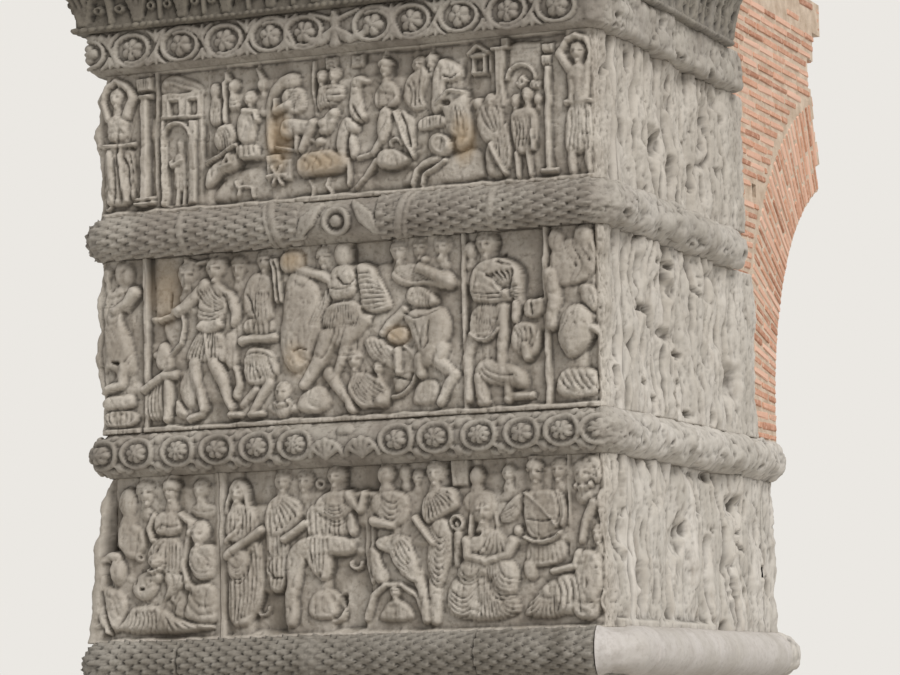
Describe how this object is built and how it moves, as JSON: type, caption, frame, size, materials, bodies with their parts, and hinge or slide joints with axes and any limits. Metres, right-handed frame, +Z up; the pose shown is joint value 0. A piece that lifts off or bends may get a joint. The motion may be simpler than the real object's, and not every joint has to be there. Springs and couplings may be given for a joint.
{
  "type": "carved pier of a triumphal arch",
  "caption": "Square marble-faced pier with bands of relief between round mouldings, a leafed cornice and the broken brick stub of a side arch behind.",
  "frame": {"origin": "on the ground at the centre of the pier's plan", "axes": "+X along the carved front to the right, +Y from the front to the arch stub, +Z up"},
  "size_m": [4.77, 6.135, 8.435],
  "materials": {
    "weathered_marble": "weathered, carved",
    "new_marble": "newly cut, smooth",
    "brick_masonry": "brick in wide mortar"
  },
  "bodies": {
    "root": {"arch_ring": "brick_masonry", "base_torus_back": "weathered_marble", "base_torus_front_left": "weathered_marble", "base_torus_front_right": "weathered_marble", "base_torus_left": "weathered_marble", "base_torus_right": "new_marble", "core_lower": "brick_masonry", "core_upper": "brick_masonry", "cornice_front": "weathered_marble", "cornice_left": "weathered_marble", "cornice_right": "weathered_marble", "crown": "brick_masonry", "frieze_front": "weathered_marble", "frieze_left": "weathered_marble", "frieze_right": "weathered_marble", "ground_step": "weathered_marble", "haunch": "brick_masonry", "laurel_torus_front": "weathered_marble", "laurel_torus_left": "weathered_marble", "laurel_torus_right": "weathered_marble", "plinth_block": "weathered_marble", "plinth_moulding": "weathered_marble", "register_1_front": "weathered_marble", "register_1_left": "weathered_marble", "register_1_right": "weathered_marble", "register_2_front": "weathered_marble", "register_2_left": "weathered_marble", "register_2_right": "weathered_marble", "register_3_back": "weathered_marble", "register_3_front_left": "weathered_marble", "register_3_front_right": "weathered_marble", "register_3_left": "weathered_marble", "register_3_right": "weathered_marble", "register_4_back": "weathered_marble", "register_4_front": "weathered_marble", "register_4_left": "weathered_marble", "register_4_right": "weathered_marble", "rosette_torus_back": "weathered_marble", "rosette_torus_front": "weathered_marble", "rosette_torus_left": "weathered_marble", "rosette_torus_right": "weathered_marble"}
  },
  "joints": []
}
